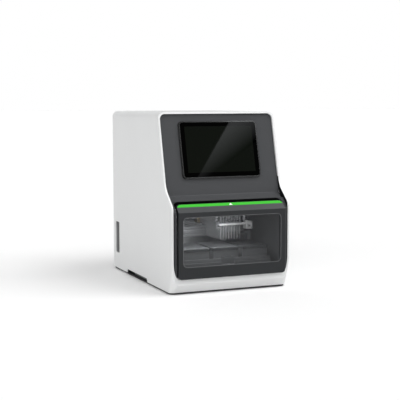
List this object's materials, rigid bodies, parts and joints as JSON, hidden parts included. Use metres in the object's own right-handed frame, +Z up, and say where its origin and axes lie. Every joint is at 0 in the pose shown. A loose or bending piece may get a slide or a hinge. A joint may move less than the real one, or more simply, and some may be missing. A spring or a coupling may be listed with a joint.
{
  "type": "nucleic acid extractor",
  "caption": "Benchtop nucleic acid extractor: white housing, sloped touch screen, flip-up window door over a sliding plate tray and a magnet-rod head on a traverse.",
  "frame": {"origin": "On the bench under the middle of the machine's overall box.", "axes": "+X is the operator's right, -Y is the front with the door and screen, +Z is up."},
  "size_m": [0.375, 0.5583, 0.525],
  "materials": {
    "cover_white": "satin",
    "base_black": "matt",
    "rubber_black": "matt",
    "cup_black": "matt",
    "fascia_grey": "satin",
    "bezel_black": "gloss",
    "screen_glass": "gloss",
    "display_dark": "satin",
    "door_grey": "satin",
    "window_smoke": "gloss",
    "strip_green": "gloss",
    "steel": "brushed",
    "aluminium": "satin",
    "sheet_grey": "satin",
    "sheet_dark": "satin",
    "motor_black": "satin",
    "plate_dark": "satin",
    "heater_dark": "anodised",
    "comb_white": "satin",
    "comb_clear": "gloss",
    "nut_brass": "satin",
    "port_metal": "satin",
    "board_green": "satin",
    "plastic_black": "satin"
  },
  "bodies": {
    "housing": {"outer_cover": "cover_white", "base_plate": "base_black", "rubber_feet": "rubber_black", "grip_cups": "cup_black", "front_fascia": "fascia_grey", "screen_bezel": "bezel_black", "touch_glass": "screen_glass", "display_panel": "display_dark", "chamber_deck": "sheet_grey", "chamber_left_wall": "sheet_grey", "chamber_right_wall": "sheet_grey", "chamber_back_wall": "sheet_dark", "x_beam": "aluminium", "x_rail": "steel", "x_motor": "motor_black", "x_bearing": "aluminium", "tray_rails": "steel", "tray_motor": "motor_black", "rear_panel": "base_black", "fan_housing": "plastic_black", "fan_guard": "steel", "power_inlet": "plastic_black", "port_block": "port_metal", "power_supply": "aluminium", "control_board": "board_green"},
    "door": {"door_frame": "door_grey", "door_window": "window_smoke", "door_strip": "strip_green", "hinge_pins": "steel"},
    "tray": {"plate_tray": "sheet_grey", "heater_plate": "heater_dark", "deep_well_plate_left": "plate_dark", "deep_well_plate_middle": "plate_dark", "deep_well_plate_right": "plate_dark", "tray_runners": "plastic_black", "tray_nut": "aluminium"},
    "latch": {"tray_latch": "sheet_dark"},
    "carriage": {"rail_block": "steel", "x_nut": "nut_brass", "head_gusset": "sheet_grey", "head_plate": "aluminium", "z_rails": "steel", "motor_bracket": "aluminium", "comb_motor": "motor_black", "rod_motor": "motor_black", "sensor_arm": "sheet_dark"},
    "comb_lift": {"comb_carrier": "aluminium", "comb_post_left": "steel", "comb_post_right": "steel", "comb_bar": "comb_white", "comb_clamp": "comb_white", "tip_comb": "comb_clear"},
    "rod_lift": {"rod_plate": "aluminium", "magnet_rods": "steel"},
    "x_leadscrew": {"x_screw": "steel"},
    "comb_leadscrew": {"comb_screw": "steel"},
    "rod_leadscrew": {"rod_screw": "steel"},
    "tray_leadscrew": {"tray_screw": "steel"},
    "fan": {"fan_rotor": "plastic_black"},
    "power_rocker": {"rocker_switch": "plastic_black"}
  },
  "joints": [
    {"name": "door_hinge", "type": "hinge", "parent": "housing", "child": "door", "pos_m": [0, -0.2545, 0.247], "axis": [-1, 0, 0], "range_deg": [0, 95]},
    {"name": "tray_slide", "type": "slide", "parent": "housing", "child": "tray", "axis": [0, 1, 0], "range_m": [0, 0.065]},
    {"name": "latch_pivot", "type": "hinge", "parent": "tray", "child": "latch", "pos_m": [0, -0.24, 0.081], "axis": [1, 0, 0], "range_deg": [0, 25], "stiffness_Nm_per_rad": 0.05},
    {"name": "carriage_slide", "type": "slide", "parent": "housing", "child": "carriage", "axis": [1, 0, 0], "range_m": [-0.1423, 0.0463]},
    {"name": "comb_lift_slide", "type": "slide", "parent": "carriage", "child": "comb_lift", "axis": [0, 0, 1], "range_m": [-0.008, 0.045]},
    {"name": "rod_lift_slide", "type": "slide", "parent": "comb_lift", "child": "rod_lift", "axis": [0, 0, 1], "range_m": [0, 0.04]},
    {"name": "x_screw_turn", "type": "hinge", "parent": "housing", "child": "x_leadscrew", "pos_m": [0, 0.07, 0.178], "axis": [1, 0, 0], "range_deg": [-834.4, 2562.4]},
    {"name": "comb_screw_turn", "type": "hinge", "parent": "carriage", "child": "comb_leadscrew", "pos_m": [0.026, -0.1395, 0.3], "axis": [0, 0, 1], "range_deg": [-2026, 361]},
    {"name": "rod_screw_turn", "type": "hinge", "parent": "carriage", "child": "rod_leadscrew", "pos_m": [0.07, -0.1395, 0.3], "axis": [0, 0, 1], "range_deg": [-1801, 0]},
    {"name": "tray_screw_turn", "type": "hinge", "parent": "housing", "child": "tray_leadscrew", "pos_m": [0, -0.1, 0.036], "axis": [0, 1, 0], "range_deg": [-2341, 0]},
    {"name": "fan_spin", "type": "hinge", "parent": "housing", "child": "fan", "pos_m": [0.09, 0.26, 0.4], "axis": [0, 1, 0], "continuous": true},
    {"name": "power_rocker_tilt", "type": "hinge", "parent": "housing", "child": "power_rocker", "pos_m": [-0.11, 0.2718, 0.095], "axis": [-1, 0, 0], "range_deg": [0, 16]}
  ],
  "couplings": [
    {"joint": "x_screw_turn", "follows": "carriage_slide", "rad_per_m": -314.16},
    {"joint": "comb_screw_turn", "follows": "comb_lift_slide", "rad_per_m": -785.4},
    {"joint": "rod_screw_turn", "follows": "rod_lift_slide", "rad_per_m": -785.4},
    {"joint": "tray_screw_turn", "follows": "tray_slide", "rad_per_m": -628.32}
  ]
}
